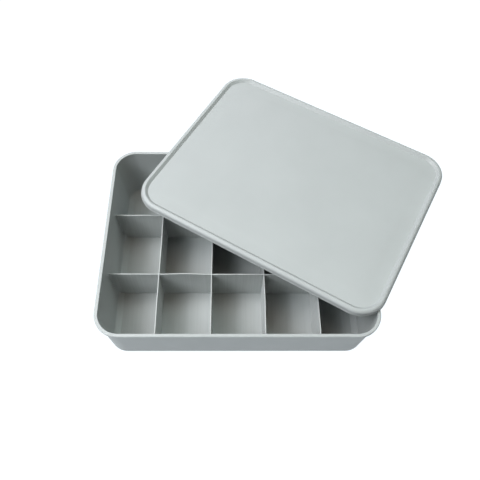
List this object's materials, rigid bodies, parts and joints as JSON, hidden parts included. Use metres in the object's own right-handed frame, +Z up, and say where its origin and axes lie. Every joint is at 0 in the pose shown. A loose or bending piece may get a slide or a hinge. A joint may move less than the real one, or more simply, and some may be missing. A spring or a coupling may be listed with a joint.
{
  "type": "divided storage tray with lid",
  "caption": "Shallow rectangular plastic tray, divided into cells by interlocking lift-out sheets, with a loose drop-over lid lying turned across the open top.",
  "frame": {"origin": "centre of the tray's flat underside", "axes": "+Z up, +X along the tray's long side, -Y towards the tray's front"},
  "size_m": [0.4415, 0.4003, 0.0924],
  "materials": {
    "tray_plastic": "fine matte moulded polypropylene, pale grey-green",
    "divider_plastic": "matte extruded sheet, pale grey-green",
    "lid_plastic": "fine matte moulded polypropylene, pale grey-green"
  },
  "bodies": {
    "tray": {"tray": "tray_plastic"},
    "row_front": {"row_divider_front": "divider_plastic"},
    "row_back": {"row_divider_back": "divider_plastic"},
    "column_1": {"column_divider_1": "divider_plastic"},
    "column_2": {"column_divider_2": "divider_plastic"},
    "column_3": {"column_divider_3": "divider_plastic"},
    "column_4": {"column_divider_4": "divider_plastic"},
    "lid": {"lid": "lid_plastic"}
  },
  "joints": [
    {"name": "row_front_lift", "type": "slide", "parent": "tray", "child": "row_front", "axis": [0, 0, 1], "range_m": [0, 0.09]},
    {"name": "row_back_lift", "type": "slide", "parent": "tray", "child": "row_back", "axis": [0, 0, 1], "range_m": [0, 0.09]},
    {"name": "column_1_lift", "type": "slide", "parent": "row_front", "child": "column_1", "axis": [0, 0, 1], "range_m": [0, 0.015]},
    {"name": "column_2_lift", "type": "slide", "parent": "row_front", "child": "column_2", "axis": [0, 0, 1], "range_m": [0, 0.015]},
    {"name": "column_3_lift", "type": "slide", "parent": "row_front", "child": "column_3", "axis": [0, 0, 1], "range_m": [0, 0.015]},
    {"name": "column_4_lift", "type": "slide", "parent": "row_front", "child": "column_4", "axis": [0, 0, 1], "range_m": [0, 0.015]},
    {"name": "lid_lift", "type": "slide", "parent": "row_front", "child": "lid", "axis": [0, 0, 1], "range_m": [0, 0.15]}
  ],
  "couplings": [
    {"joint": "row_back_lift", "follows": "row_front_lift", "ratio": 1}
  ]
}
